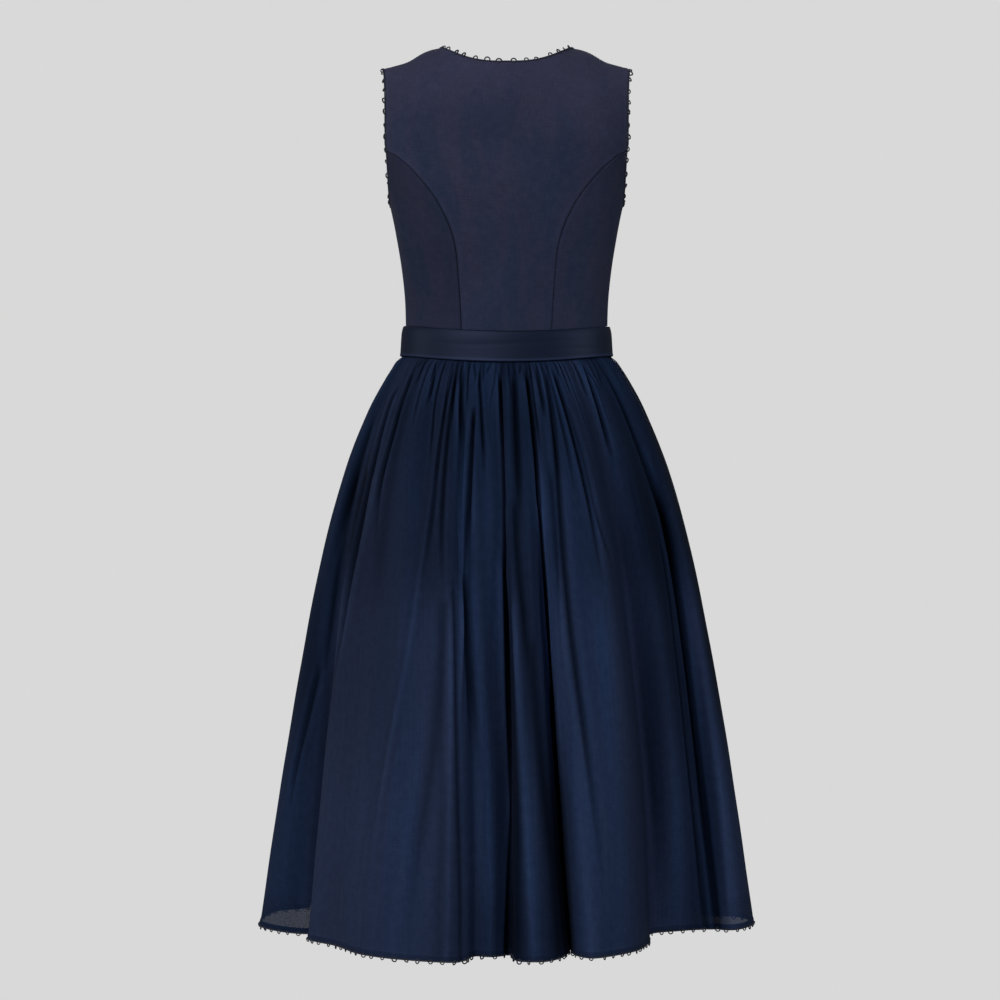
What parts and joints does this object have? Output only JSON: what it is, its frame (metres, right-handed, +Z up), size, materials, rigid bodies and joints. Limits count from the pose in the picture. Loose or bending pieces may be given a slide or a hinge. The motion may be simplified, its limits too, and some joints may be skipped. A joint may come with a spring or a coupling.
{
  "type": "dirndl dress",
  "caption": "Sleeveless dirndl dress held in its worn, filled-out form: fitted bodice with princess seams, waistband, gathered midi skirt and lining, all open and hollow.",
  "frame": {"origin": "midway between the two shoulder neck points, where the worn dress hangs on the wearer's shoulders", "axes": "+Z up, +Y towards the back of the dress, +X to the wearer's left"},
  "size_m": [0.648, 0.5904, 1.1515],
  "materials": {
    "bodice": "matte, finely mottled plain weave",
    "waistband": "satin-faced, softly glossy",
    "skirt": "fine satin sheen over dark navy",
    "lining": "plain dark lining",
    "picot_trim": "matte crocheted cord"
  },
  "bodies": {
    "root": {"back_centre": "bodice", "back_side_left": "bodice", "back_side_right": "bodice", "front_side_left": "bodice", "front_side_right": "bodice", "front_centre_left": "bodice", "front_centre_right": "bodice", "waistband": "waistband", "skirt_back": "skirt", "skirt_front_left": "skirt", "skirt_front_right": "skirt", "skirt_lining": "lining", "neck_trim": "picot_trim", "armhole_trim_left": "picot_trim", "armhole_trim_right": "picot_trim", "hem_trim": "picot_trim"}
  },
  "joints": []
}
